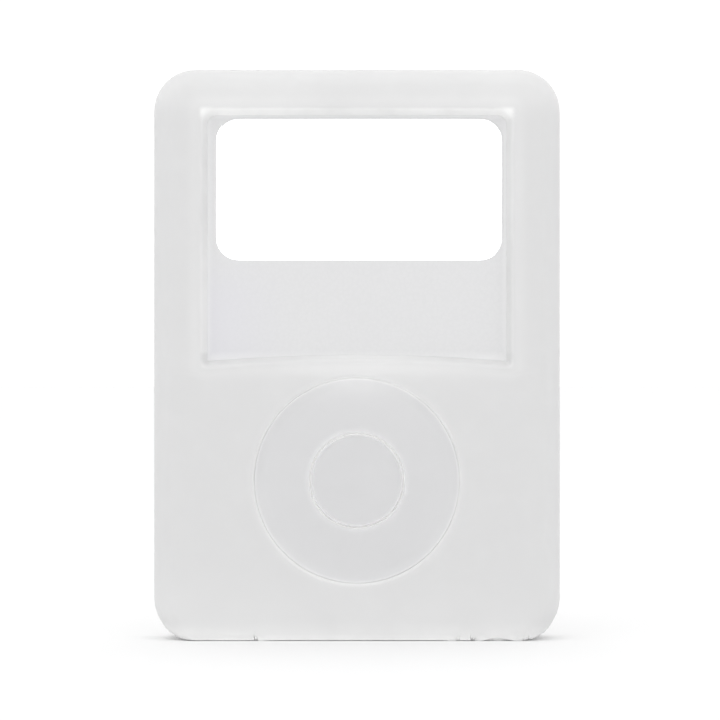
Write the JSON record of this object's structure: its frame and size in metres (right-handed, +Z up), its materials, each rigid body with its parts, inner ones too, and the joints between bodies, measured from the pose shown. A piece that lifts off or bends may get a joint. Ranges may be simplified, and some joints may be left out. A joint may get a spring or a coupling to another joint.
{
  "type": "digital audio player",
  "caption": "Pocket digital audio player with a click wheel and centre button, standing in its translucent silicone sleeve, with screen window and port openings.",
  "frame": {"origin": "middle of the sleeve's base, on the surface that it stands on", "axes": "+X to the right as seen from the front, +Y from the front to the back, +Z up"},
  "size_m": [0.056, 0.01, 0.0786],
  "materials": {
    "silicone": "translucent satin silicone",
    "white_plastic": "satin",
    "polished_steel": "polished stainless steel",
    "spring_steel": "stamped",
    "frame_metal": "die cast, bead blasted",
    "gold_contact": "gold plated",
    "black_plastic": "moulded",
    "chip_resin": "moulded resin",
    "board_resin": "solder mask",
    "flex_film": "polyimide film",
    "foam": "closed-cell foam",
    "clear_lens": "clear acrylic",
    "display_glass": "lit display glass",
    "battery_foil": "laminated foil",
    "light_guide": "clear acrylic",
    "connector_resin": "moulded",
    "coil_ferrite": "sintered",
    "crystal_can": "drawn can",
    "tantalum": "moulded",
    "insulating_film": "film",
    "hold_warning": "painted",
    "wire_black": "insulation",
    "wire_red": "insulation"
  },
  "bodies": {
    "player": {"silicone_sleeve": "silicone", "front_cover": "white_plastic", "backlight_strip": "white_plastic", "rear_cover": "polished_steel", "jack_bezel": "polished_steel", "display_tray": "spring_steel", "dock_shell": "spring_steel", "hold_switch_base": "spring_steel", "snap_dome_up": "spring_steel", "snap_dome_right": "spring_steel", "snap_dome_down": "spring_steel", "snap_dome_left": "spring_steel", "snap_dome_centre": "spring_steel", "frame_screw_1": "spring_steel", "frame_screw_2": "spring_steel", "frame_screw_3": "spring_steel", "frame_screw_4": "spring_steel", "mid_frame": "frame_metal", "dock_contacts": "gold_contact", "jack_tip_spring": "gold_contact", "jack_ground_spring": "gold_contact", "dock_tongue": "black_plastic", "headphone_jack": "black_plastic", "processor_chip": "chip_resin", "memory_chip": "chip_resin", "flash_chip": "chip_resin", "audio_chip": "chip_resin", "power_chip": "chip_resin", "main_board": "board_resin", "switch_board": "board_resin", "battery_board": "board_resin", "display_flex": "flex_film", "switch_flex": "flex_film", "sensor_tail": "flex_film", "display_gasket": "foam", "battery_foam": "foam", "display_lens": "clear_lens", "lcd_panel": "display_glass", "battery_cell": "battery_foil", "light_guide": "light_guide", "display_connector": "connector_resin", "switch_connector": "connector_resin", "battery_connector": "connector_resin", "power_inductor": "coil_ferrite", "clock_crystal": "crystal_can", "tantalum_capacitor": "tantalum", "board_insulator": "insulating_film", "hold_marker": "hold_warning", "battery_wire_negative": "wire_black", "battery_wire_positive": "wire_red"},
    "rocker": {"rocker_ring": "spring_steel"},
    "wheel": {"click_wheel": "white_plastic", "wheel_sensor_board": "board_resin", "sleeve_wheel_pad": "silicone"},
    "button": {"centre_button": "white_plastic", "sleeve_button_pad": "silicone"},
    "hold": {"hold_slider": "white_plastic", "hold_actuator": "black_plastic"}
  },
  "joints": [
    {"name": "wheel_rock_x", "type": "hinge", "parent": "player", "child": "rocker", "pos_m": [0, -0.00162, 0.022], "axis": [1, 0, 0], "range_deg": [-1.2, 1.2], "stiffness_Nm_per_rad": 0.1},
    {"name": "wheel_rock_z", "type": "hinge", "parent": "rocker", "child": "wheel", "pos_m": [0, -0.00162, 0.022], "axis": [0, 0, 1], "range_deg": [-1.2, 1.2], "stiffness_Nm_per_rad": 0.1},
    {"name": "centre_button_press", "type": "slide", "parent": "player", "child": "button", "axis": [0, 1, 0], "range_m": [0, 0.00025], "stiffness_N_per_m": 200},
    {"name": "hold_switch_slide", "type": "slide", "parent": "player", "child": "hold", "axis": [1, 0, 0], "range_m": [0, 0.0018]}
  ]
}
